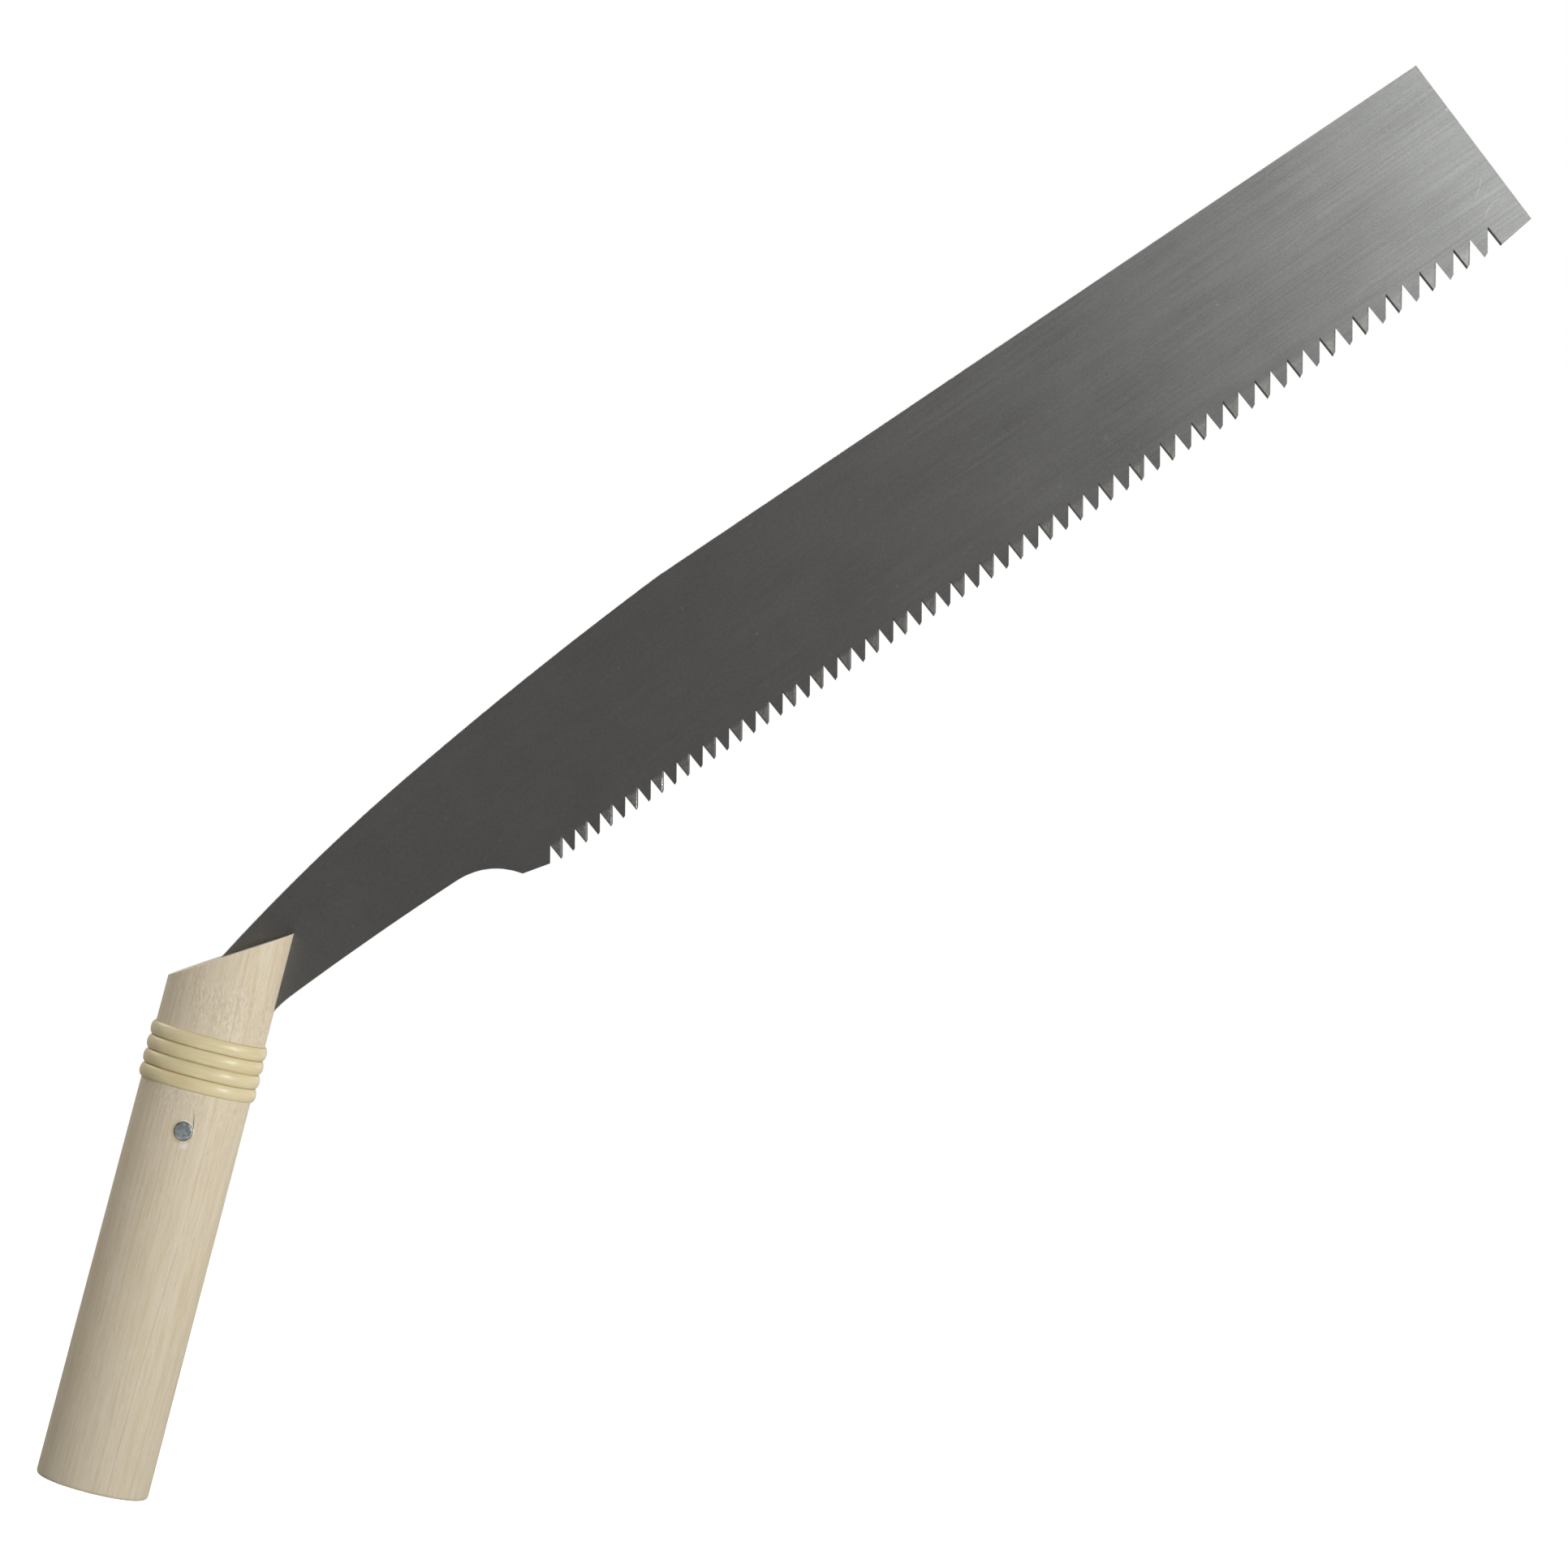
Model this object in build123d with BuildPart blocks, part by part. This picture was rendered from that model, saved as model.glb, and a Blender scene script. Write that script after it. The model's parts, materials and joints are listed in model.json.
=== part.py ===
from build123d import *
import os
from math import cos, radians, sin, sqrt, tan

# Pull saw with an angled handle.
#
# Frame: +X runs along the row of teeth from the handle to the toe of the blade, +Z points from the
# teeth to the spine, and Y crosses the thickness of the blade. The blade's middle plane is Y = 0.
# The origin is on the handle's axis, in the middle of the hand's grip. All sizes are millimetres
# and all angles are degrees.

# ---- Handle: a straight tapered oval, cut off at a slant where the blade comes out ----
handle_angle = 42.2             # from the row of teeth to the handle's axis
grip_from_butt = 55.2           # butt end to the origin, along the handle's axis
handle_short_side = 154.1       # butt end to the slanted cut, on the spine's side
handle_long_side = 175.6        # butt end to the slanted cut, on the teeth's side
cut_tilt = 2.0                  # the slanted cut also faces a little to the front
butt_width = 34.3               # oval at the butt end, in the blade's plane
butt_thickness = 25.7           # oval at the butt end, across the blade's plane
top_width = 33.2                # the same oval at the end of the long side
top_thickness = 24.4
butt_edge_radius = 1.3          # rounding of the butt end's rim

# ---- Binding rings: half-round bands side by side, round the handle's oval ----
ring_count = 4
ring_pitch = 4.3
ring_gap = 0.05                 # between neighbours
first_ring_from_butt = 125.2
ring_height = 1.1               # proud of the wood
ring_shoulder = 0.3             # straight side below the crown
ring_bed = 0.5                  # depth that the band's section starts inside the wood's surface

# ---- Pin through the handle and the tang ----
pin_diameter = 5.7
pin_from_butt = 111.1
pin_offset = 0.8                # off the handle's axis, towards the teeth
pin_recess = 0.3                # end of the pin below the wood
pin_edge_break = 0.25
pin_hole_clearance = 0.1        # in the tang, on the diameter

# ---- Blade ----
blade_length = 360.0            # heel corner to toe corner, along the teeth
blade_thickness = 1.2
edge_break = 0.15               # chamfer on the plain edges of the plate
heel_corner = (167.4, 46.2)
toe_corner = (heel_corner[0] + blade_length, 45.7)
toe_top = (523.5, 103.0)
spine_kink = (249.9, 98.9)      # the straight spine ends here and its long curve begins

# The spine's slope grows towards the handle along three arcs.
spine_kink_slope = 3.6
spine_curve_radius = 1356.0
spine_shoulder_slope = 7.8
spine_shoulder_radius = 617.0
spine_entry_slope = 14.6
spine_tang_radius = 45.0

heel_arc_start = (149.8, 55.2)  # the cut-away under the heel meets the lower edge
lower_middle = (116.0, 54.6)    # on the lower edge, which is slightly hollow
neck_start = (89.1, 53.35)      # the lower edge starts to turn down into the handle
neck_radius = 30.0

# ---- Tang: the tapered end of the blade inside the wood ----
tang_end_from_butt = 80.2
tang_taper = 3.0                # spine's side to the handle's axis
tang_draft = 10.0               # teeth's side to the handle's axis
tang_end_radius = 3.0
tang_clearance = 0.1            # between the tang's edge and its pocket

# ---- Teeth: each one a little larger than the last, from the heel to the toe ----
tooth_count = 64
tooth_line = 43.56              # height of the outermost points
first_tooth = 179.6             # cutting corner of the first tooth, from the origin
first_pitch = 4.425
pitch_growth = 1.0053           # each pitch over the one before it
front_lean = 5.9                # cutting face off the square, towards the toe
back_lean = 33.5                # back face off the square, towards the handle
top_bevel_slope = 27.0          # third, top bevel to the tooth line
heel_top_bevel = 0.4            # length of the top bevel on the first tooth
toe_top_bevel = 1.3             # the same on the last tooth
fleam_angle = 22.0              # file's stroke off the square, alternately to the toe and the heel
heel_land_slope = 12.8          # the plain land at the heel dips towards the teeth
toe_land_slope = 8.1            # the plain land at the toe dips towards the teeth
file_overrun = 1.0              # the file's path goes past the steel by this much


# ---- Places on the handle ----
axis_x = cos(radians(handle_angle))
axis_z = sin(radians(handle_angle))


def on_handle(from_butt, across):
    """X and Z of a point in the blade's plane: along the handle, and across it to the teeth."""
    along = from_butt - grip_from_butt
    return (along * axis_x + across * axis_z, along * axis_z - across * axis_x)


def handle_section(from_butt):
    """Plane square to the handle: its x to the teeth's side, its y along +Y, its z to the blade."""
    x, z = on_handle(from_butt, 0)
    return Plane(origin=(x, 0, z), x_dir=(axis_z, 0, -axis_x), z_dir=(axis_x, 0, axis_z))


def handle_oval(from_butt):
    """Half width and half thickness of the oval at a distance from the butt end."""
    share = from_butt / handle_long_side
    width = butt_width + (top_width - butt_width) * share
    thickness = butt_thickness + (top_thickness - butt_thickness) * share
    return width / 2, thickness / 2


# ---- Places on the tooth line ----
front_run = tan(radians(front_lean))
back_run = tan(radians(back_lean))
bevel_rise = tan(radians(top_bevel_slope))
stroke_run = tan(radians(fleam_angle))

# The skewed strokes leave each point longer on one face of the plate than in the middle plane.
point_overshoot = stroke_run * blade_thickness / (1 / bevel_rise + front_run)
filing_line = tooth_line + point_overshoot


def cutting_corner(tooth):
    """X of a tooth's cutting corner in the blade's middle plane."""
    return first_tooth + first_pitch * (pitch_growth**tooth - 1) / (pitch_growth - 1)


def gullet(tooth):
    """Corners of the space filed away ahead of a tooth's cutting face, in X and Z."""
    corner = cutting_corner(tooth)
    last_corner = cutting_corner(tooth - 1)
    bevel = heel_top_bevel + (toe_top_bevel - heel_top_bevel) * (tooth - 1) / tooth_count
    bevel_run = bevel * cos(radians(top_bevel_slope))
    bevel_drop = bevel * sin(radians(top_bevel_slope))
    depth = (corner - last_corner - bevel_run + bevel_drop * back_run) / (front_run + back_run)
    outside = filing_line - file_overrun
    front_outside = (corner + file_overrun * front_run, outside)
    root = (corner - depth * front_run, filing_line + depth)
    if tooth == 0:
        # The heel's plain land has no top bevel.
        return [front_outside, root, (root[0] - (depth + file_overrun) * back_run, outside)]
    bevel_end = (last_corner + bevel_run, filing_line + bevel_drop)
    bevel_outside = (last_corner - file_overrun / bevel_rise, outside)
    return [front_outside, root, bevel_end, bevel_outside]


# ---- Face of the blade and its tang, with a plain straight edge in place of the teeth ----
heel_land_run = (heel_corner[1] - tooth_line) / tan(radians(heel_land_slope))
toe_land_run = (toe_corner[1] - tooth_line) / tan(radians(toe_land_slope))
kink_heading = (-cos(radians(spine_kink_slope)), -sin(radians(spine_kink_slope)))
curve_turn = spine_shoulder_slope - spine_kink_slope
shoulder_turn = spine_entry_slope - spine_shoulder_slope
tang_turn = handle_angle + tang_taper - spine_entry_slope

with BuildSketch() as blade_face:
    with BuildLine():
        tang_end = Line(
            on_handle(tang_end_from_butt, -butt_width),
            on_handle(tang_end_from_butt, butt_width),
            mode=Mode.PRIVATE,
        )
        # From the toe along the spine into the handle.
        Line(toe_top, spine_kink)
        curve = JernArc(spine_kink, kink_heading, spine_curve_radius, curve_turn)
        shoulder = JernArc(curve @ 1, curve % 1, spine_shoulder_radius, shoulder_turn)
        tang_bend = JernArc(shoulder @ 1, shoulder % 1, spine_tang_radius, tang_turn)
        tang_spine_side = IntersectingLine(tang_bend @ 1, tang_bend % 1, tang_end)
        # From the heel along the lower edge into the handle.
        lower_edge = ThreePointArc(heel_arc_start, lower_middle, neck_start)
        lower_slope = (lower_edge % 1).get_angle(Vector(-1, 0, 0))
        neck_turn = handle_angle - tang_draft - lower_slope
        neck = JernArc(lower_edge @ 1, lower_edge % 1, neck_radius, neck_turn)
        tang_teeth_side = IntersectingLine(neck @ 1, neck % 1, tang_end)
        Line(tang_spine_side @ 1, tang_teeth_side @ 1)
        # From the cut-away under the heel along the tooth line to the toe.
        TangentArc(heel_arc_start, heel_corner, tangent=(lower_edge % 0) * -1)
        Polyline(
            heel_corner,
            (heel_corner[0] + heel_land_run, tooth_line),
            (toe_corner[0] - toe_land_run, tooth_line),
            toe_corner,
            toe_top,
        )
    make_face()
    fillet(blade_face.vertices().sort_by(Axis.X)[:2], tang_end_radius)


def is_plain_edge(edge):
    """True for the plate's edges away from the teeth and the lands beside them."""
    middle = edge.center()
    return middle.X < heel_corner[0] or middle.Z > heel_corner[1]


# ---- Blade: plate with broken edges, a hole for the pin, and filed gullets ----
pin_place = on_handle(pin_from_butt, pin_offset)

with BuildPart() as blade:
    with BuildSketch(Plane.XZ):
        add(blade_face.sketch)
    extrude(amount=blade_thickness / 2, both=True)
    chamfer(blade.faces().filter_by(Axis.Y).edges().filter_by(is_plain_edge), edge_break)
    with BuildSketch(Plane.XZ):
        with Locations(pin_place):
            Circle((pin_diameter + pin_hole_clearance) / 2)
    extrude(amount=blade_thickness, both=True, mode=Mode.SUBTRACT)
    for first_gullet, stroke in ((0, -stroke_run), (1, stroke_run)):
        with BuildSketch(Plane.XZ):
            for tooth in range(first_gullet, tooth_count + 1, 2):
                Polygon(*gullet(tooth), align=None)
        extrude(amount=blade_thickness, dir=(stroke, 1, 0), both=True, mode=Mode.SUBTRACT)

# ---- Handle blank: the oval with its rounded butt and slanted cut, before it is split ----
cut_middle = (handle_short_side + handle_long_side) / 2
cut_rise = (handle_long_side - handle_short_side) / (2 * handle_oval(cut_middle)[0])
cut_lean = sqrt(1 + cut_rise**2) * tan(radians(cut_tilt))
cut_normal = (axis_x - cut_rise * axis_z, -cut_lean, axis_z + cut_rise * axis_x)
cut_x, cut_z = on_handle(cut_middle, 0)
handle_direction = Axis((0, 0, 0), (axis_x, 0, axis_z))

with BuildPart() as handle_blank:
    for from_butt in (0.0, handle_long_side + top_width / 2):
        with BuildSketch(handle_section(from_butt)):
            Ellipse(*handle_oval(from_butt))
    loft()
    fillet(handle_blank.edges().sort_by(handle_direction)[0], butt_edge_radius)
    split(bisect_by=Plane(origin=(cut_x, 0, cut_z), z_dir=cut_normal), keep=Keep.BOTTOM)

# ---- Handle halves: they meet on the blade's middle plane, with half of the tang's pocket in each ----
handle_halves = {}
for label, kept_side in (("handle_front_half", Keep.TOP), ("handle_back_half", Keep.BOTTOM)):
    with BuildPart() as handle_half:
        add(handle_blank.part)
        split(bisect_by=Plane.XZ, keep=kept_side)
        with BuildSketch(Plane.XZ):
            add(blade_face.sketch)
            offset(amount=tang_clearance)
        extrude(amount=blade_thickness / 2, both=True, mode=Mode.SUBTRACT)
        with BuildSketch(Plane.XZ):
            with Locations(pin_place):
                Circle(pin_diameter / 2)
        extrude(amount=butt_thickness, both=True, mode=Mode.SUBTRACT)
    handle_halves[label] = handle_half.part

# ---- Pin: driven through both halves and the tang, its ends just below the wood ----
pin_oval = handle_oval(pin_from_butt)
wood_over_pin = pin_oval[1] * sqrt(1 - (pin_offset / pin_oval[0]) ** 2)

with BuildPart() as tang_pin:
    with BuildSketch(Plane.XZ):
        with Locations(pin_place):
            Circle(pin_diameter / 2)
    extrude(amount=wood_over_pin - pin_recess, both=True)
    chamfer(tang_pin.faces().filter_by(Axis.Y).edges(), pin_edge_break)

# ---- Binding rings ----
binding_rings = {}
band_half_width = (ring_pitch - ring_gap) / 2
for number in range(ring_count):
    ring_plane = handle_section(first_ring_from_butt + number * ring_pitch)
    half_width, half_thickness = handle_oval(first_ring_from_butt + number * ring_pitch)
    with BuildPart() as binding_ring:
        with BuildLine(ring_plane) as ring_path:
            EllipticalCenterArc((0, 0), half_width, half_thickness, arc_size=360)
        ring_start = ring_path.line @ 0
        band_plane = Plane(origin=ring_start, x_dir=ring_plane.x_dir, z_dir=ring_path.line % 0)
        with BuildSketch(band_plane):
            with BuildLine():
                Polyline(
                    (ring_shoulder, -band_half_width),
                    (-ring_bed, -band_half_width),
                    (-ring_bed, band_half_width),
                    (ring_shoulder, band_half_width),
                )
                ThreePointArc(
                    (ring_shoulder, -band_half_width),
                    (ring_height, 0),
                    (ring_shoulder, band_half_width),
                )
            make_face()
        sweep(path=ring_path.line)
        add(handle_blank.part, mode=Mode.SUBTRACT)
    binding_rings[f"binding_ring_{number + 1}"] = binding_ring.part

# ---- One STEP file for each piece ----
pieces = {"blade": blade.part, "tang_pin": tang_pin.part, **handle_halves, **binding_rings}
os.makedirs("parts", exist_ok=True)
for label, piece in pieces.items():
    piece.label = label
    export_step(piece, f"parts/{label}.step")
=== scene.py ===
import json
from math import atan2, cos, floor, log, pi, radians, sin, tan

import bmesh
import bpy
from mathutils import Matrix, Vector, noise


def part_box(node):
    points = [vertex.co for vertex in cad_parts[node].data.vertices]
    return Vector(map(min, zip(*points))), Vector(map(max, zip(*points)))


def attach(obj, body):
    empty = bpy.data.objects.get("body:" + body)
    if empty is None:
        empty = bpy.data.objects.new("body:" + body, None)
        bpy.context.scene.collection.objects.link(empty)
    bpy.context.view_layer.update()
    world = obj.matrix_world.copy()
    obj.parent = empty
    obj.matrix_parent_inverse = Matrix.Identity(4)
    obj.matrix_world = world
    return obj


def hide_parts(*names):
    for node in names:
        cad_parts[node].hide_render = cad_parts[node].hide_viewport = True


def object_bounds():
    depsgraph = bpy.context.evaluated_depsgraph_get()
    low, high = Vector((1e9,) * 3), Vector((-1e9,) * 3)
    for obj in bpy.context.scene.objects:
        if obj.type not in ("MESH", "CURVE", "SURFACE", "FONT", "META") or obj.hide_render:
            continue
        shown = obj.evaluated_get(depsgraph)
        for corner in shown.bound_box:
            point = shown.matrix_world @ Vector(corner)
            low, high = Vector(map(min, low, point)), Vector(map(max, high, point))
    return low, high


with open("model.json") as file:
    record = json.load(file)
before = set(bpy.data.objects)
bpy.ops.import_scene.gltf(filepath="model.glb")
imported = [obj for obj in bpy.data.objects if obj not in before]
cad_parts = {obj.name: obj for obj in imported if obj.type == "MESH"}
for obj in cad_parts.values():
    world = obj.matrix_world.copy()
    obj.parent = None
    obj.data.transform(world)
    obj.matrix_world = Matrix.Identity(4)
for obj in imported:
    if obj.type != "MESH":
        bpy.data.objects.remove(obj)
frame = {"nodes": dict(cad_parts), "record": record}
cad_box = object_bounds()

# Looks of the pull saw. Lengths are metres, in the part's own frame: +X runs along the row of teeth
# to the toe, +Z points from the teeth to the spine, and Y crosses the blade. The blade's middle
# plane is Y = 0. The origin is on the handle's axis, in the middle of the grip.

# ---- Places that the looks follow ----
mounts = {mount["name"]: mount for mount in frame["record"]["mounts"]}
axis_along = Vector(mounts["grip"]["axis"])
axis_across = Vector((axis_along.z, 0, -axis_along.x))    # towards the teeth
handle_angle = atan2(axis_along.z, axis_along.x)          # from the row of teeth
grip_from_butt = -Vector(mounts["handle_butt"]["pos_m"]).dot(axis_along)
pin_low, pin_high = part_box("tang_pin")
pin_centre = (pin_low + pin_high) / 2
pin_radius = (pin_high.x - pin_low.x) / 2
blade_height = 0.0594           # from the top of the spine to the points of the teeth
toe_x, _, spine_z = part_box("blade")[1]
teeth_z = spine_z - blade_height
gullet_z = teeth_z + 0.0089     # the gullets end below this level
ring_pitch = 0.0043             # from one band of the binding to the next
smooth_angle = radians(35)      # edges that turn by less are shaded smooth
join_distance = 1e-7            # corners closer than this are one


# ---- Shader nodes ----
class Tree:
    """Short ways to add nodes to one material or world."""

    def __init__(self, owner):
        owner.use_nodes = True
        self.tree = owner.node_tree
        self.tree.nodes.clear()

    def node(self, kind, **settings):
        made = self.tree.nodes.new("ShaderNode" + kind)
        for name, value in settings.items():
            setattr(made, name, value)
        return made

    def feed(self, socket, value):
        """Links a socket to an output, or sets it to a plain value."""
        if isinstance(value, bpy.types.NodeSocket):
            self.tree.links.new(value, socket)
        else:
            socket.default_value = value

    def math(self, operation, *values, clamp=False):
        made = self.node("Math", operation=operation, use_clamp=clamp)
        for socket, value in zip(made.inputs, values):
            self.feed(socket, value)
        return made.outputs[0]

    def plus(self, first, second):
        return self.math("ADD", first, second)

    def minus(self, first, second):
        return self.math("SUBTRACT", first, second)

    def times(self, first, second):
        return self.math("MULTIPLY", first, second)

    def vector(self, operation, *values):
        made = self.node("VectorMath", operation=operation)
        for socket, value in zip(made.inputs, values):
            self.feed(socket, value)
        return made.outputs["Value" if operation == "DOT_PRODUCT" else "Vector"]

    def stretch(self, place, scale, turn=(0, 0, 0), shift=(0, 0, 0)):
        """Place turned, then scaled on each axis."""
        made = self.node("Mapping", vector_type="POINT")
        self.feed(made.inputs["Vector"], self.turned(place, turn) if any(turn) else place)
        made.inputs["Location"].default_value = shift
        made.inputs["Scale"].default_value = scale
        return made.outputs[0]

    def turned(self, place, turn):
        made = self.node("VectorRotate", rotation_type="EULER_XYZ")
        self.feed(made.inputs["Vector"], place)
        made.inputs["Rotation"].default_value = turn
        return made.outputs[0]

    def noise(self, place, scale=1.0, detail=2.0, roughness=0.5, distortion=0.0):
        """Noise from about 0.25 to 0.75 with its middle at 0.5."""
        made = self.node("TexNoise")
        self.feed(made.inputs["Vector"], place)
        made.inputs["Scale"].default_value = scale
        made.inputs["Detail"].default_value = detail
        made.inputs["Roughness"].default_value = roughness
        made.inputs["Distortion"].default_value = distortion
        return made.outputs["Fac"]

    def ramp(self, value, low, high, out_low=0.0, out_high=1.0, smooth=False):
        """Value from low..high onto out_low..out_high, held at the ends."""
        made = self.node("MapRange", interpolation_type="SMOOTHSTEP" if smooth else "LINEAR")
        self.feed(made.inputs["Value"], value)
        made.inputs["From Min"].default_value = low
        made.inputs["From Max"].default_value = high
        made.inputs["To Min"].default_value = out_low
        made.inputs["To Max"].default_value = out_high
        return made.outputs["Result"]

    def blend(self, share, first, second):
        made = self.node("Mix", data_type="RGBA", clamp_factor=True)
        self.feed(made.inputs["Factor"], share)
        colours = [s for s in made.inputs if s.type == "RGBA"]
        for socket, value in zip(colours, (first, second)):
            self.feed(socket, value if isinstance(value, bpy.types.NodeSocket) else (*value, 1))
        return next(s for s in made.outputs if s.type == "RGBA")

    def bump(self, height, distance, normal=None):
        made = self.node("Bump")
        self.feed(made.inputs["Height"], height)
        made.inputs["Distance"].default_value = distance
        if normal is not None:
            self.feed(made.inputs["Normal"], normal)
        return made.outputs[0]

    def place(self):
        """Position in the part's frame."""
        return self.node("TexCoord").outputs["Object"]

    def facing(self):
        """The surface's own direction in the part's frame."""
        return self.node("TexCoord").outputs["Normal"]

    def split(self, vector):
        made = self.node("SeparateXYZ")
        self.feed(made.inputs[0], vector)
        return made.outputs

    def finish(self, shader, output="OutputMaterial"):
        end = self.node(output)
        self.tree.links.new(shader, end.inputs["Surface"])


def principled(tree, colour, roughness, normal=None, **uniform):
    """The surface shader: colour, roughness and normal may vary, the rest is the same all over."""
    made = tree.node("BsdfPrincipled")
    tree.feed(made.inputs["Base Color"], colour)
    tree.feed(made.inputs["Roughness"], roughness)
    if normal is not None:
        tree.feed(made.inputs["Normal"], normal)
    for name, value in uniform.items():
        made.inputs[name.replace("_", " ")].default_value = value
    return made


def grey(level, warmth):
    """A linear grey, with its red raised and its blue lowered as warmth goes over 1."""
    return (level * warmth, level, level / warmth)


# ---- Blade steel: brushed along its length, with filed teeth and worn edges ----
brushing_starts = toe_x - 0.2174
filing_starts = toe_x - 0.3274
near_toe = toe_x - 0.0274
wall_shade_top = teeth_z + 0.0104     # gullet walls get painted shade from here down to gullet_z
toe_scratches = (               # back from the toe, above the teeth, half length, bow, lean
    (0.0082, 0.0182, 0.0036, 0.0004, radians(40)),
    (0.0082, 0.0120, 0.0044, -0.0012, radians(20)),
)
scratch_core = 0.00008
scratch_reach = 0.00022


def blade_steel():
    material = bpy.data.materials.new("blade_steel")
    t = Tree(material)
    place = t.place()
    x, _, z = t.split(place)
    out_x, out_y, out_z = t.split(t.facing())
    out_y = t.math("ABSOLUTE", out_y)

    # Brushed lines of three widths, each a long streak along X. Their colour contrast is raised towards the
    # toe, where the highlight falls: real brushing, painted stronger where the highlight would show it.
    fine = t.noise(t.stretch(place, (34, 500, 4200)), detail=3, roughness=0.6)
    middle = t.noise(t.stretch(place, (24, 140, 1300), (0, radians(1.5), 0)), detail=2)
    broad = t.noise(t.stretch(place, (5, 30, 260)), detail=2)
    cloud = t.noise(place, 40, detail=4)
    speckle = t.noise(place, 2400, detail=1)
    bright_end = t.ramp(x, brushing_starts, near_toe, 0.14, 1.0)

    # Short scratches at two slight angles to the brushing, and tiny nicks.
    scratches = 0.0
    for turn, seed in ((radians(11), 0.3), (radians(-19), 2.1)):
        streak = t.noise(t.stretch(place, (60, 90, 1900), (0, turn, 0), (seed, seed, seed)), detail=0)
        scratches = t.plus(scratches, t.ramp(streak, 0.76, 0.82))
    nicks = t.ramp(t.noise(place, 420, detail=1), 0.76, 0.82)

    lines = t.plus(t.times(fine, 0.4), t.times(middle, 0.6))
    shade = t.times(t.ramp(lines, 0.3, 0.7, -0.15, 0.15), bright_end)
    shade = t.plus(shade, t.times(t.ramp(broad, 0.3, 0.7, -0.05, 0.05), bright_end))
    shade = t.plus(shade, t.ramp(cloud, 0.3, 0.7, -0.05, 0.05))
    shade = t.plus(shade, t.ramp(speckle, 0.3, 0.7, -0.07, 0.07))
    shade = t.plus(shade, t.times(scratches, 0.07))
    shade = t.plus(shade, t.times(nicks, 0.25))
    for from_toe, above_teeth, length, curve, lean in toe_scratches:
        # A curved scratch is a thin bowed line, in its own turned coordinates.
        off_x = t.minus(x, toe_x - from_toe)
        off_z = t.minus(z, teeth_z + above_teeth)
        run = t.plus(t.times(off_x, cos(lean)), t.times(off_z, sin(lean)))
        side = t.minus(t.times(off_z, cos(lean)), t.times(off_x, sin(lean)))
        bow = t.times(t.math("POWER", t.math("DIVIDE", run, length), 2.0), curve)
        near = t.ramp(t.math("ABSOLUTE", t.minus(side, bow)), scratch_core, scratch_reach, 1.0, 0.0)
        inside = t.ramp(t.math("ABSOLUTE", run), length * 0.5, length, 1.0, 0.0)
        shade = t.plus(shade, t.times(t.times(near, inside), 0.26))
    bare = t.blend(bright_end, grey(0.348, 1.010), (0.340, 0.348, 0.341))
    colour = t.vector("SCALE", bare)
    t.feed(colour.node.inputs["Scale"], t.plus(shade, 1.0))

    # The teeth set away from this face are filed across it: lighter, with crossing file marks.
    filed = t.times(t.ramp(out_z, -0.008, -0.032), t.ramp(out_y, 0.93, 0.985))
    marks = 0.0
    for turn, seed in ((radians(48), 1.7), (radians(-62), 5.2)):
        stroke = t.noise(t.stretch(place, (260, 260, 3600), (0, turn, 0), (seed, seed, seed)), detail=1)
        marks = t.plus(marks, t.ramp(stroke, 0.50, 0.72))
    filed = t.times(filed, t.plus(t.times(marks, 0.90), 0.25))
    filed = t.times(filed, t.ramp(x, filing_starts, near_toe, 0.62, 0.16))
    colour = t.blend(filed, colour, (0.90, 0.88, 0.84))

    # Painted shade: the gullet walls are darkened, those facing the toe far more. Broken edges and burrs are
    # worn bright.
    wall = t.times(t.ramp(out_y, 0.62, 0.50), t.ramp(z, wall_shade_top, gullet_z))
    wall_shade_colour = t.blend(t.ramp(out_x, -0.05, 0.05), (0.255, 0.232, 0.208), (0.058, 0.044, 0.039))
    colour = t.blend(t.times(wall, 0.97), colour, wall_shade_colour)
    # The worn-bright edges are kept to the side facing the light, so this lightening is partly real wear and
    # partly painted highlight.
    edge = t.times(t.ramp(out_y, 0.60, 0.68), t.ramp(out_y, 0.97, 0.90))
    lit_side = t.math("MAXIMUM", t.ramp(out_x, 0.0, 0.2, 0.35, 1.0), t.ramp(out_z, 0.1, 0.3))
    edge = t.times(edge, lit_side)
    edge = t.times(edge, t.ramp(t.noise(place, 700, detail=2), 0.35, 0.6, 0.55, 1.0))
    colour = t.blend(edge, colour, (0.93, 0.885, 0.82))

    roughness = t.ramp(lines, 0.3, 0.7, 0.43, 0.51)
    normal = t.bump(lines, 0.000012)
    normal = t.bump(speckle, 0.000006, normal)
    shader = principled(t, colour, roughness, normal, Metallic=1.0, Anisotropic=0.85)
    up = t.node("CombineXYZ")
    up.inputs["Z"].default_value = 1.0
    t.feed(shader.inputs["Tangent"], up.outputs[0])
    t.finish(shader.outputs[0])
    return material


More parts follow.
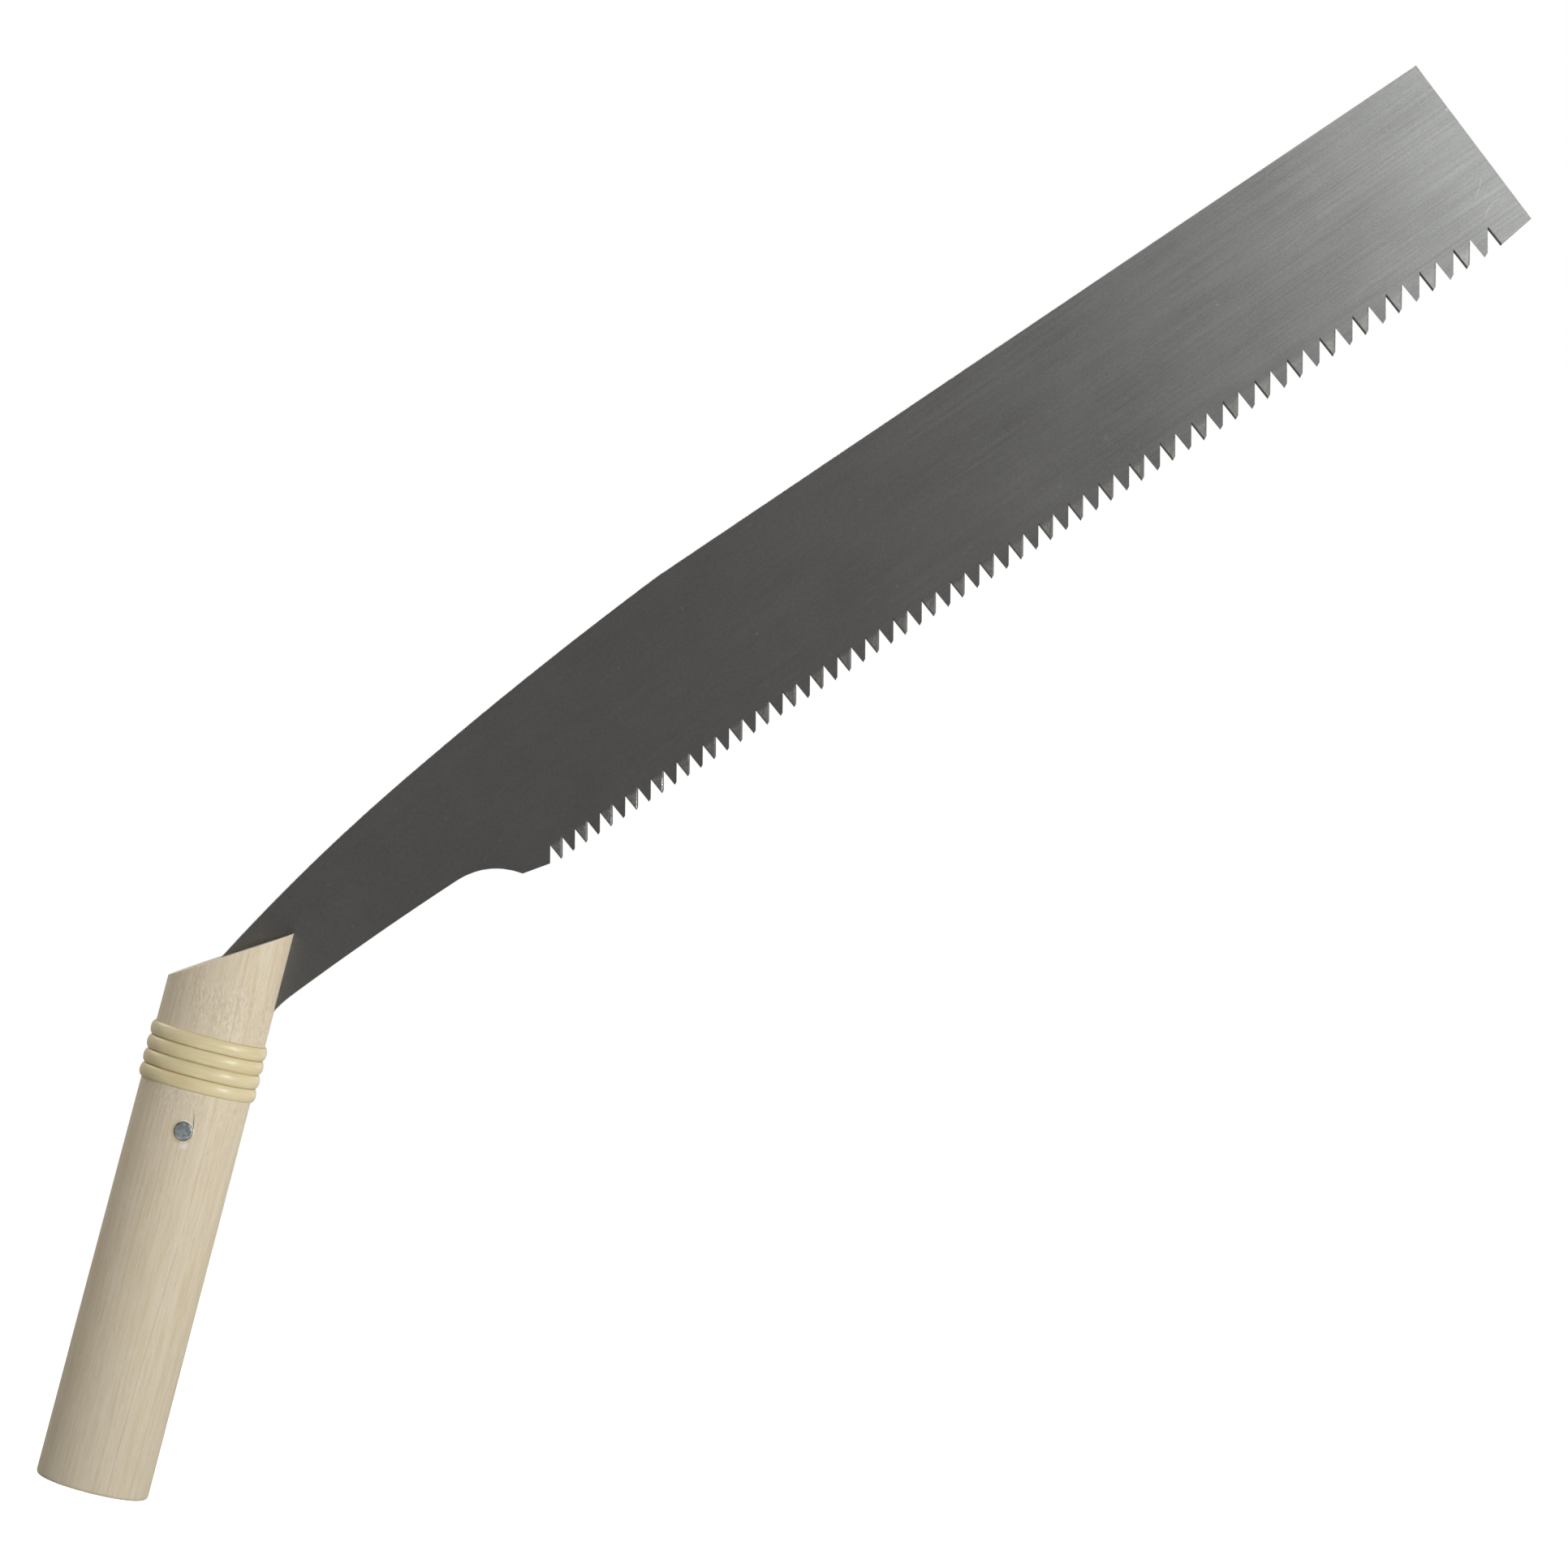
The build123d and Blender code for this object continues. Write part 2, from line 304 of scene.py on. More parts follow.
# ---- Handle wood: pale, straight-grained, bare ----
def handle_wood():
    material = bpy.data.materials.new("handle_wood")
    t = Tree(material)
    grain = t.turned(t.place(), (0, handle_angle, 0))   # x along the handle, z away from the teeth
    along, through, away = t.split(grain)
    across = t.times(away, -1.0)
    end_grain = t.math("ABSOLUTE", t.split(t.turned(t.facing(), (0, handle_angle, 0)))[0])
    end_grain = t.ramp(end_grain, 0.5, 0.8)

    # Growth layers lean through the handle and bow gently along it.
    layer = t.plus(across, t.times(t.plus(through, 0.0117), 0.45))
    bow = t.math("COSINE", t.times(t.minus(along, 0.0463), 2 * pi / 0.190))
    layer = t.minus(layer, t.times(bow, 0.00135))
    wander = t.noise(t.stretch(grain, (14, 20, 20)), detail=2)
    layer = t.plus(layer, t.ramp(wander, 0.3, 0.7, -0.0003, 0.0003))

    # One dark late-wood line, and fainter ones at uneven spacings that fade in and out.
    fade = t.noise(t.stretch(grain, (26, 90, 90)), detail=2)
    line_side = t.math("ABSOLUTE", t.minus(layer, 0.0074))
    main_line = t.times(t.ramp(line_side, 0.00006, 0.00026, 1.0, 0.0), t.ramp(fade, 0.3, 0.6, 0.25, 0.55))
    spacing = t.noise(t.stretch(grain, (3, 45, 75)), detail=1)
    phase = t.plus(t.times(layer, 230), t.times(spacing, 9))
    ring = t.math("FRACT", phase)
    late_wood = t.math("POWER", ring, 3.0)
    thin_line = t.ramp(t.math("ABSOLUTE", t.minus(ring, 0.93)), 0.02, 0.075, 1.0, 0.0)
    thin_line = t.times(thin_line, t.ramp(fade, 0.42, 0.62))

    # Fibres, from broad soft streaks down to hairs.
    streaks = t.noise(t.stretch(grain, (13, 150, 330)), detail=2)
    patches = t.noise(t.stretch(grain, (26, 60, 80)), detail=3)
    fibres = t.noise(t.stretch(grain, (75, 600, 1250)), detail=3, roughness=0.6)
    hairs = t.noise(t.stretch(grain, (210, 1500, 3400)), detail=2, roughness=0.6)
    pores = t.noise(t.stretch(grain, (520, 1900, 2300)), detail=1)

    # Fibres torn up by the plane on both sides of the binding.
    above = t.times(t.ramp(along, 0.0840, 0.0860), t.ramp(along, 0.1080, 0.0980, smooth=True))
    below = t.times(t.ramp(along, 0.0560, 0.0640, smooth=True), t.ramp(along, 0.0690, 0.0670))
    torn_left = t.noise(t.stretch(grain, (520, 1200, 1900), (0, radians(17), 0)), detail=2, roughness=0.6)
    torn_right = t.noise(t.stretch(grain, (520, 1200, 1900), (0, radians(-9), 0)), detail=2, roughness=0.6)
    torn = t.math("MAXIMUM", torn_left, torn_right)
    torn_patch = t.ramp(t.noise(t.stretch(grain, (45, 70, 90)), detail=2), 0.34, 0.54)
    torn_share = t.times(t.plus(above, below), torn_patch)

    # Marks round the pin, on the front only: a stain, a bruise and a short split, and a pale crescent on the
    # hole's upper side that is a painted highlight.
    front = t.ramp(through, -0.002, -0.004)
    pin_along = pin_centre.dot(axis_along)
    pin_across = pin_centre.dot(axis_across)
    off_along = t.minus(along, pin_along)
    off_across = t.minus(across, pin_across)

    def round_mark(shift_along, shift_across, inner, outer):
        along_squared = t.math("POWER", t.minus(off_along, shift_along), 2.0)
        across_squared = t.math("POWER", t.minus(off_across, shift_across), 2.0)
        apart = t.math("SQRT", t.plus(along_squared, across_squared))
        return t.times(t.ramp(apart, inner, outer, 1.0, 0.0, smooth=True), front)

    stain = round_mark(0.0, -0.0002, 0.0029, 0.0040)
    burnt = round_mark(-0.0029, -0.0010, 0.0003, 0.0014)
    bruise = round_mark(-0.0041, 0.0014, 0.0003, 0.0018)
    # A pale crescent round the hole, kept to its upper side towards the teeth: painted highlight.
    painted_crescent_highlight = t.minus(round_mark(0.0, 0.0, 0.0032, 0.0036), round_mark(0.0, 0.0, 0.0027, 0.0029))
    upper_side = t.plus(t.times(off_along, 0.75), t.times(off_across, 0.66))
    painted_crescent_highlight = t.times(painted_crescent_highlight, t.ramp(upper_side, 0.0010, 0.0024))
    split_side = t.plus(t.times(t.minus(off_along, 0.0017), 0.175), off_across)
    split_side = t.math("ABSOLUTE", t.minus(split_side, 0.0026))
    split_run = t.ramp(t.math("ABSOLUTE", t.minus(off_along, 0.0036)), 0.0014, 0.0024, 1.0, 0.0)
    split_line = t.times(t.ramp(split_side, 0.00004, 0.00020, 1.0, 0.0), split_run)
    split_line = t.times(split_line, front)

    colour = t.blend(t.ramp(streaks, 0.34, 0.66), (0.800, 0.705, 0.530), (0.755, 0.650, 0.445))
    colour = t.blend(t.ramp(patches, 0.35, 0.7, 0.0, 0.5), colour, (0.805, 0.695, 0.535))
    colour = t.blend(t.times(late_wood, 0.12), colour, (0.68, 0.54, 0.36))
    colour = t.blend(t.times(thin_line, 0.32), colour, (0.58, 0.43, 0.27))
    colour = t.blend(main_line, colour, (0.56, 0.40, 0.25))
    colour = t.blend(t.ramp(fibres, 0.46, 0.76, 0.0, 0.34), colour, (0.62, 0.50, 0.34))
    colour = t.blend(t.ramp(fibres, 0.50, 0.26, 0.0, 0.34), colour, (0.86, 0.78, 0.65))
    colour = t.blend(t.ramp(hairs, 0.50, 0.74, 0.0, 0.34), colour, (0.88, 0.81, 0.69))
    colour = t.blend(t.ramp(pores, 0.60, 0.78, 0.0, 0.26), colour, (0.55, 0.44, 0.30))
    # Torn fibres: pale where the noise is high; where it is low, painted shadow beside them.
    torn_light = t.times(torn_share, t.ramp(torn, 0.56, 0.70, 0.0, 0.60))
    torn_shadow = t.times(torn_share, t.ramp(torn, 0.52, 0.42, 0.0, 0.45))
    colour = t.blend(torn_shadow, colour, (0.60, 0.49, 0.33))
    colour = t.blend(torn_light, colour, (0.92, 0.85, 0.73))
    colour = t.blend(t.times(stain, 0.50), colour, (0.52, 0.43, 0.24))
    colour = t.blend(t.times(burnt, 0.40), colour, (0.60, 0.38, 0.18))
    bruised = t.times(bruise, t.ramp(t.noise(grain, 900, detail=2), 0.35, 0.65, 0.2, 0.75))
    colour = t.blend(bruised, colour, (0.95, 0.90, 0.84))
    # The painted highlight crescent by the pin.
    colour = t.blend(t.times(painted_crescent_highlight, 0.75), colour, (0.96, 0.93, 0.76))
    colour = t.blend(t.times(split_line, 0.42), colour, (0.38, 0.29, 0.18))

    # Cut ends are paler, partly the wood's end grain and partly painted light standing in for the lit slanted
    # cut, with the growth layers as thin lines and the vessels as dots.
    dots = t.noise(t.stretch(grain, (300, 2100, 2100)), detail=1)
    cut_end_and_light = t.blend(t.times(late_wood, 0.60), (0.95, 0.89, 0.77), (0.74, 0.60, 0.40))
    cut_end_and_light = t.blend(t.times(thin_line, 0.45), cut_end_and_light, (0.62, 0.47, 0.30))
    cut_end_and_light = t.blend(t.ramp(dots, 0.52, 0.72, 0.0, 0.55), cut_end_and_light, (0.60, 0.48, 0.32))
    cut_end_and_light = t.blend(t.ramp(patches, 0.40, 0.62, 0.0, 0.35), cut_end_and_light, (0.84, 0.75, 0.58))
    colour = t.blend(t.times(end_grain, 0.80), colour, cut_end_and_light)

    # The wood is a little paler towards the cut.
    colour = t.vector("SCALE", colour)
    t.feed(colour.node.inputs["Scale"], t.ramp(along, -0.045, 0.070, 0.955, 1.09))

    height = t.plus(t.times(fibres, 0.6), t.times(hairs, 0.4))
    normal = t.bump(height, 0.00007)
    normal = t.bump(t.times(dots, end_grain), 0.00008, normal)
    normal = t.bump(t.times(torn, torn_share), 0.00024, normal)
    normal = t.bump(t.times(split_line, -1.0), 0.0003, normal)
    shader = principled(t, colour, t.ramp(fibres, 0.3, 0.7, 0.55, 0.70), normal)
    t.finish(shader.outputs[0])
    return material


# ---- Pin steel: rough, with coarse and fine marks ----
def pin_steel():
    material = bpy.data.materials.new("pin_steel")
    t = Tree(material)
    place = t.place()
    coarse = t.noise(t.stretch(place, (620, 900, 1000), (0, radians(-35), 0)), detail=3, roughness=0.6)
    fine = t.noise(place, 3200, detail=2)
    shade = t.ramp(coarse, 0.3, 0.7, 0.50, 1.25)
    colour = t.vector("SCALE", (0.49, 0.54, 0.56))
    t.feed(colour.node.inputs["Scale"], shade)
    normal = t.bump(coarse, 0.00012)
    normal = t.bump(fine, 0.00003, normal)
    shader = principled(t, colour, t.ramp(fine, 0.3, 0.7, 0.42, 0.6), normal, Metallic=1.0)
    t.finish(shader.outputs[0])
    return material


# ---- Binding: smooth cream bands, faintly streaked round the handle, with painted shade between them ----
def binding():
    material = bpy.data.materials.new("binding")
    t = Tree(material)
    place = t.place()
    soft = t.noise(place, 90, detail=2)
    fine = t.noise(place, 1800, detail=2)
    colour = t.blend(t.ramp(soft, 0.3, 0.7), (0.88, 0.752, 0.445), (0.94, 0.815, 0.520))
    ring_low, ring_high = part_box("binding_ring_1")
    first_at = ((ring_low + ring_high) / 2).dot(axis_along)
    grain = t.turned(place, (0, handle_angle, 0))
    along = t.split(grain)[0]
    streaks = t.noise(t.stretch(grain, (2600, 95, 95)), detail=2, roughness=0.6)
    colour = t.blend(t.ramp(streaks, 0.48, 0.72, 0.0, 0.30), colour, (0.70, 0.575, 0.315))
    colour = t.blend(t.ramp(streaks, 0.46, 0.28, 0.0, 0.25), colour, (0.98, 0.885, 0.64))
    # Painted shade: a brown darkening in the grooves between the bands.
    band = t.math("FRACT", t.plus(t.math("DIVIDE", t.minus(along, first_at), ring_pitch), 0.5))
    groove_shade = t.ramp(t.math("ABSOLUTE", t.minus(band, 0.5)), 0.40, 0.49, smooth=True)
    colour = t.blend(t.times(groove_shade, 0.55), colour, (0.56, 0.43, 0.22))
    normal = t.bump(soft, 0.0004)
    normal = t.bump(streaks, 0.00004, normal)
    normal = t.bump(fine, 0.000012, normal)
    shader = principled(t, colour, t.ramp(fine, 0.3, 0.7, 0.36, 0.46), normal,
                        Subsurface_Weight=0.25, Subsurface_Scale=0.002, Coat_Weight=0.15, Coat_Roughness=0.22)
    t.finish(shader.outputs[0])
    return material


materials = {
    "blade_steel": blade_steel(),
    "handle_wood": handle_wood(),
    "pin_steel": pin_steel(),
    "binding": binding(),
}


# ---- Pieces ----
def new_piece(name, work, slot, nodes, smooth_below=smooth_angle):
    """A mesh piece from a bmesh, in place of CAD nodes."""
    for edge in work.edges:
        edge.smooth = len(edge.link_faces) < 2 or edge.calc_face_angle() < smooth_below
    for face in work.faces:
        face.smooth = True
    mesh = bpy.data.meshes.new(name)
    work.to_mesh(mesh)
    work.free()
    mesh.materials.append(materials[slot])
    piece = bpy.data.objects.new(name, mesh)
    bpy.context.scene.collection.objects.link(piece)
    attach(piece, "root")
    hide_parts(*nodes)
    return piece


def copy_of(node):
    """A bmesh of a CAD node, its split corners joined and its flat faces whole."""
    source = frame["nodes"][node].data
    work = bmesh.new()
    corners = [work.verts.new(v.co) for v in source.vertices]
    for polygon in source.polygons:
        work.faces.new([corners[i] for i in polygon.vertices])
    bmesh.ops.remove_doubles(work, verts=work.verts, dist=join_distance)
    bmesh.ops.recalc_face_normals(work, faces=work.faces)
    bmesh.ops.dissolve_limit(work, angle_limit=radians(0.2), verts=work.verts, edges=work.edges)
    return work


# The blade: the CAD plate with its teeth set to alternate sides and its edges just broken.
tooth_count = 64
first_tooth = toe_x - 0.3478
first_pitch = 0.004425
pitch_growth = 1.0053
tooth_lead = 0.0009             # a tooth's cutting side starts this far before its corner
set_lines = [teeth_z + above for above in (0.0054, 0.0046, 0.0038)]
tooth_set = 0.00025             # sideways, at the point
blade_edge = 0.00004
filed_edge = 0.00013            # burr side of the teeth, on the face they are set away from
shortest_filed = 0.0006         # shorter edges, at the gullets' ends, are left whole
rim_above = 0.0019              # only edges this far above the points are rounded out
longest_chord = 0.008
chord_pieces = 4


def tooth_at(x):
    """Number of the tooth that a point near the tooth line belongs to."""
    steps = 1 + (x + tooth_lead - first_tooth) * (pitch_growth - 1) / first_pitch
    return floor(log(steps) / log(pitch_growth)) if steps > 0 else -1


def turn_between(first, second):
    """Signed turn from one direction to the next, in the blade's plane."""
    return atan2(first.x * second.z - first.z * second.x, first.x * second.x + first.z * second.z)


def round_out(work):
    """Bows out the short straight chords that stand for the plate's curved edges."""
    rim = [e for e in work.edges if len(e.link_faces) == 2 and e.calc_face_angle() > radians(25)
           and abs(e.verts[0].co.y - e.verts[1].co.y) < 1e-6
           and min(v.co.z for v in e.verts) > teeth_z + rim_above]
    at_corner = {}
    for edge in rim:
        for corner in edge.verts:
            at_corner.setdefault(corner, []).append(edge)
    bows = []
    for edge in rim:
        start, end = edge.verts
        run = end.co - start.co
        turns = []
        for corner, sign in ((start, 1), (end, -1)):
            others = [e for e in at_corner[corner] if e is not edge]
            if len(others) == 1:
                beyond = (corner.co - others[0].other_vert(corner).co) * sign
                turns.append(turn_between(beyond, run) if sign > 0 else turn_between(run, beyond))
        if len(turns) < 2:
            continue
        small, large = sorted(turns, key=abs)
        if abs(large) > radians(20) and run.length < longest_chord:
            large = small
        if radians(0.2) < abs(small) and abs(large) < radians(20) and small * large > 0:
            bows.append((edge, start, run, small))
    for edge, start, run, turn in bows:
        side = Vector((run.z, 0, -run.x)) * (tan(turn / 4) / 2)
        origin = start.co.copy()
        for step in range(1, chord_pieces):
            share = step / chord_pieces
            edge, fresh = bmesh.utils.edge_split(edge, start, 1 / (chord_pieces + 1 - step))
            fresh.co = origin + run * share + side * (4 * share * (1 - share))
            edge = next(e for e in fresh.link_edges if e.other_vert(fresh) is not start
                        and (e.other_vert(fresh).co - origin - run).length < join_distance)
            start = fresh


def is_filed_edge(edge):
    """True for the blunt leading edges of the teeth, where the skewed file came out through the face."""
    level = (edge.verts[0].co.z + edge.verts[1].co.z) / 2
    if len(edge.link_faces) != 2 or level > gullet_z or edge.calc_length() < shortest_filed:
        return False
    wall = min(edge.link_faces, key=lambda face: abs(face.normal.y))
    return wall.normal.x > 0.2 and radians(55) < edge.calc_face_angle() < radians(80)


blade = copy_of("blade")
for line in set_lines:
    bmesh.ops.bisect_plane(blade, geom=blade.verts[:] + blade.edges[:] + blade.faces[:],
                           plane_co=(0, 0, line), plane_no=(0, 0, 1), dist=join_distance)
for corner in blade.verts:
    tooth = tooth_at(corner.co.x)
    if corner.co.z < set_lines[0] and 0 <= tooth < tooth_count:
        bends = [(line - corner.co.z) / (line - teeth_z) for line in set_lines if corner.co.z < line]
        lean = tooth_set * sum(bends) / len(set_lines)
        corner.co.y += lean if tooth % 2 == 0 else -lean
round_out(blade)
open_edges = [e for e in blade.edges if is_filed_edge(e)]
bmesh.ops.bevel(blade, geom=open_edges, offset=filed_edge, segments=1, affect="EDGES", clamp_overlap=False)
sharp = [e for e in blade.edges if len(e.link_faces) == 2 and e.calc_face_angle() > radians(50)]
bmesh.ops.bevel(blade, geom=sharp, offset=blade_edge, segments=1, affect="EDGES", clamp_overlap=True)
new_piece("saw_blade", blade, "blade_steel", ["blade"], radians(10))

# The handle: one oval body with softened rims and a hole for the pin.
handle_short_side = 0.1541
handle_long_side = 0.1756
cut_tilt = radians(2.0)
butt_half_width = 0.01715
butt_half_thickness = 0.01285
top_half_width = 0.0166
top_half_thickness = 0.0122
butt_edge_radius = 0.0013
cut_edge = 0.00022
hole_edge = 0.00022
around = 160                    # corners in each loop of the handle and the binding
body_steps = 24
overrun = 1.1                   # the body is made longer than the handle, then cut
rim_steps = 6
hole_gap = 0.00004              # between the pin and its hole


def on_handle(from_butt, across, through):
    """Point from its distance along the handle, across it towards the teeth, and along Y."""
    return axis_along * (from_butt - grip_from_butt) + axis_across * across + Vector((0, through, 0))


def handle_half_sizes(from_butt):
    share = from_butt / handle_long_side
    width = butt_half_width + (top_half_width - butt_half_width) * share
    thickness = butt_half_thickness + (top_half_thickness - butt_half_thickness) * share
    return width, thickness


def loop_at(work, from_butt, inset):
    width, thickness = handle_half_sizes(from_butt)
    turns = [2 * pi * i / around for i in range(around)]
    return [work.verts.new(on_handle(from_butt, (width - inset) * cos(turn), (thickness - inset) * sin(turn)))
            for turn in turns]


def skin(work, loops):
    """Faces between each closed loop of corners and the next."""
    for first, second in zip(loops, loops[1:]):
        for i in range(len(first)):
            j = (i + 1) % len(first)
            work.faces.new((first[i], first[j], second[j], second[i]))


handle = bmesh.new()
rim_turns = [pi / 2 * i / rim_steps for i in range(rim_steps + 1)]
loops = [loop_at(handle, butt_edge_radius * (1 - sin(turn)), butt_edge_radius * (1 - cos(turn)))
         for turn in reversed(rim_turns)]
loops += [loop_at(handle, handle_long_side * overrun * i / body_steps, 0) for i in range(1, body_steps + 1)]
skin(handle, loops)
handle.faces.new(loops[0][::-1])
cut_middle = (handle_short_side + handle_long_side) / 2
cut_rise = (handle_long_side - handle_short_side) / (2 * handle_half_sizes(cut_middle)[0])
cut_normal = (axis_along - axis_across * cut_rise).normalized()
cut_normal = (cut_normal - Vector((0, tan(cut_tilt), 0))).normalized()
bmesh.ops.bisect_plane(handle, geom=handle.verts[:] + handle.edges[:] + handle.faces[:], dist=join_distance,
                       plane_co=on_handle(cut_middle, 0, 0), plane_no=cut_normal, clear_outer=True)
bmesh.ops.holes_fill(handle, edges=[e for e in handle.edges if e.is_boundary], sides=0)
bmesh.ops.recalc_face_normals(handle, faces=handle.faces)
cut_rim = [e for e in handle.edges if e.calc_face_angle() > radians(40)
           and (e.verts[0].co - on_handle(cut_middle, 0, 0)).dot(cut_normal) > -1e-5]
bmesh.ops.bevel(handle, geom=cut_rim, offset=cut_edge, segments=2, affect="EDGES", clamp_overlap=True)
handle_piece = new_piece("handle_body", handle, "handle_wood", ["handle_front_half", "handle_back_half"])

cutter_mesh = bpy.data.meshes.new("pin_hole")
cutter = bmesh.new()


def round_loop(work, radius, through, count=64):
    turns = [2 * pi * i / count for i in range(count)]
    return [work.verts.new(pin_centre + Vector((radius * cos(turn), through, radius * sin(turn))))
            for turn in turns]


loops = [round_loop(cutter, pin_radius + hole_gap, side * pin_high.y * 1.5) for side in (-1, 1)]
skin(cutter, loops)
for loop in loops:
    cutter.faces.new(loop)
bmesh.ops.recalc_face_normals(cutter, faces=cutter.faces)
cutter.to_mesh(cutter_mesh)
cutter.free()
cutter_piece = bpy.data.objects.new("pin_hole", cutter_mesh)
bpy.context.scene.collection.objects.link(cutter_piece)
hole = handle_piece.modifiers.new("pin_hole", "BOOLEAN")
hole.operation = "DIFFERENCE"
hole.solver = "EXACT"
hole.object = cutter_piece
cut_handle = bmesh.new()
bpy.context.view_layer.update()
cut_handle.from_object(handle_piece, bpy.context.evaluated_depsgraph_get())
handle_piece.modifiers.clear()
bpy.data.objects.remove(cutter_piece)
hole_rim = [e for e in cut_handle.edges if len(e.link_faces) == 2 and e.calc_face_angle() > radians(50)
            and all(abs((v.co - pin_centre).xz.length - pin_radius) < 0.0002 for v in e.verts)]
bmesh.ops.bevel(cut_handle, geom=hole_rim, offset=hole_edge, segments=3, affect="EDGES", clamp_overlap=True)
for edge in cut_handle.edges:
    edge.smooth = len(edge.link_faces) < 2 or edge.calc_face_angle() < smooth_angle
cut_handle.to_mesh(handle_piece.data)
cut_handle.free()

# The pin: a driven steel dowel with rounded rims and rough ends.
pin_stand = 0.0002              # past the CAD pin's ends, almost level with the wood
pin_rim = 0.0005
pin_rim_steps = 5
pin_around = 48
end_rings = (0.12, 0.3, 0.5, 0.7, 0.88)    # loops on each end, as shares of its flat part
dent_depth = 0.00008
dents_per_metre = 1100
pin = bmesh.new()
face_at = pin_high.y + pin_stand
loops = []
for side in (-1, 1):
    half = []
    for share in end_rings:
        half.append((share * (pin_radius - pin_rim), face_at))
    for i in range(pin_rim_steps + 1):
        angle = pi / 2 * i / pin_rim_steps
        half.append((pin_radius - pin_rim * (1 - sin(angle)), face_at - pin_rim * (1 - cos(angle))))
    ordered = half if side < 0 else half[::-1]
    loops += [round_loop(pin, radius, side * y, pin_around) for radius, y in ordered]
skin(pin, loops)
pin.faces.new(loops[0])
pin.faces.new(loops[-1])
bmesh.ops.recalc_face_normals(pin, faces=pin.faces)
for corner in pin.verts:
    if abs(corner.co.y) > face_at - pin_rim:
        dent = noise.noise(corner.co * dents_per_metre) * dent_depth
        corner.co.y -= dent if corner.co.y > 0 else -dent
new_piece("pin", pin, "pin_steel", ["tang_pin"], radians(60))

# The binding: four bands, each a little off its even place.
ring_gap = 0.00005
ring_height = 0.00112
ring_shoulder = 0.0001
ring_bed = 0.0005
crown_steps = 12
crown_power = 1.15              # over 1 makes the crown narrower than a half ellipse
ring_swell = 0.03               # slow change of a band's height round the handle, as a share
ring_shifts = (0.00002, -0.00002, 0.00002, -0.00001)
ring_leans = (0.003, 0.001, 0.002, -0.001)
half_band = (ring_pitch - ring_gap) / 2
for number, (shift, lean) in enumerate(zip(ring_shifts, ring_leans)):
    band = bmesh.new()
    ring_low, ring_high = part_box(f"binding_ring_{number + 1}")
    centre_at = ((ring_low + ring_high) / 2).dot(axis_along) + grip_from_butt + shift
    width, thickness = handle_half_sizes(centre_at)
    profile = [(-ring_bed, -half_band), (ring_shoulder * 0.5, -half_band)]
    for i in range(crown_steps + 1):
        angle = pi * i / crown_steps
        crown = ring_shoulder + (ring_height - ring_shoulder) * sin(angle) ** crown_power
        profile.append((crown, -half_band * cos(angle)))
    profile += [(ring_shoulder * 0.5, half_band), (-ring_bed, half_band)]
    loops = []
    for i in range(around):
        angle = 2 * pi * i / around
        outward = Vector((cos(angle) / width, sin(angle) / thickness)).normalized()
        swell = 1 + ring_swell * noise.noise(Vector((3 * cos(angle), 3 * sin(angle), number * 7.3)))
        loop = []
        for height, along in profile:
            across = width * cos(angle) + outward.x * height * (swell if height > 0 else 1)
            through = thickness * sin(angle) + outward.y * height * (swell if height > 0 else 1)
            loop.append(band.verts.new(on_handle(centre_at + along + lean * across, across, through)))
        loops.append(loop)
    skin(band, loops + [loops[0]])
    bmesh.ops.recalc_face_normals(band, faces=band.faces)
    new_piece(f"binding_{number + 1}", band, "binding", [f"binding_ring_{number + 1}"], radians(60))

# ---- Stage: a plain pale floor, seen by the camera only, plain white far off and at a level view ----
lowest, highest = cad_box
centre = (lowest + highest) / 2
floor_radius = 3.0
floor_sides = 96
floor_drop = 0.0005             # below the lowest point of the part
white_from = 0.40               # distance at which the floor starts to turn white
white_at = 0.85
floor_mesh = bpy.data.meshes.new("floor")
disc = bmesh.new()
bmesh.ops.create_circle(disc, cap_ends=True, segments=floor_sides, radius=floor_radius)
disc.to_mesh(floor_mesh)
disc.free()
floor_piece = bpy.data.objects.new("floor", floor_mesh)
floor_piece.location = (centre.x, 0, lowest.z - floor_drop)
bpy.context.scene.collection.objects.link(floor_piece)
floor_paint = bpy.data.materials.new("floor_paint")
t = Tree(floor_paint)
paint = principled(t, (0.82, 0.82, 0.82, 1), 0.9, Emission_Color=(1, 1, 1, 1))
place = t.place()
from_middle = t.math("SQRT", t.vector("DOT_PRODUCT", place, place))
level_view = t.ramp(t.node("LayerWeight").outputs["Facing"], 0.80, 0.93, smooth=True)
far_off = t.ramp(from_middle, white_from, white_at, smooth=True)
whitened = t.ramp(t.math("MAXIMUM", level_view, far_off), 0.0, 1.0, 0.50, 1.0)
t.feed(paint.inputs["Emission Strength"], whitened)
t.finish(paint.outputs[0])
floor_mesh.materials.append(floor_paint)
floor_piece.visible_diffuse = False
floor_piece.visible_glossy = False
floor_piece.visible_shadow = False

# ---- Surroundings: white to the camera; for the light, a soft glow from each side of the view ----
camera_roll = radians(33.07)
view_right = Vector((cos(camera_roll), 0, -sin(camera_roll)))
view_up = Vector((sin(camera_roll), 0, cos(camera_roll)))
view_away = Vector((0, 1, 0))
glow_right = 0.235
glow_left = 0.184
glow_up = 0.181
glow_down = 0.332
glow_behind = 0.4
glow_front = 0.155
world = bpy.data.worlds.new("studio")
bpy.context.scene.world = world
t = Tree(world)
direction = t.node("TexCoord").outputs["Generated"]
glow = 0.0
for axis, ahead, back in (
    (view_right, glow_right, glow_left),
    (view_up, glow_up, glow_down),
    (view_away, glow_behind, glow_front),
):
    toward = t.vector("DOT_PRODUCT", direction, axis)
    side = t.ramp(toward, -0.001, 0.001, back, ahead)
    glow = t.plus(glow, t.times(side, t.math("POWER", t.math("ABSOLUTE", toward), 2.0)))
dim = t.node("Background")
dim.inputs["Color"].default_value = (1.035, 1.0, 0.965, 1)
t.feed(dim.inputs["Strength"], glow)
white = t.node("Background")
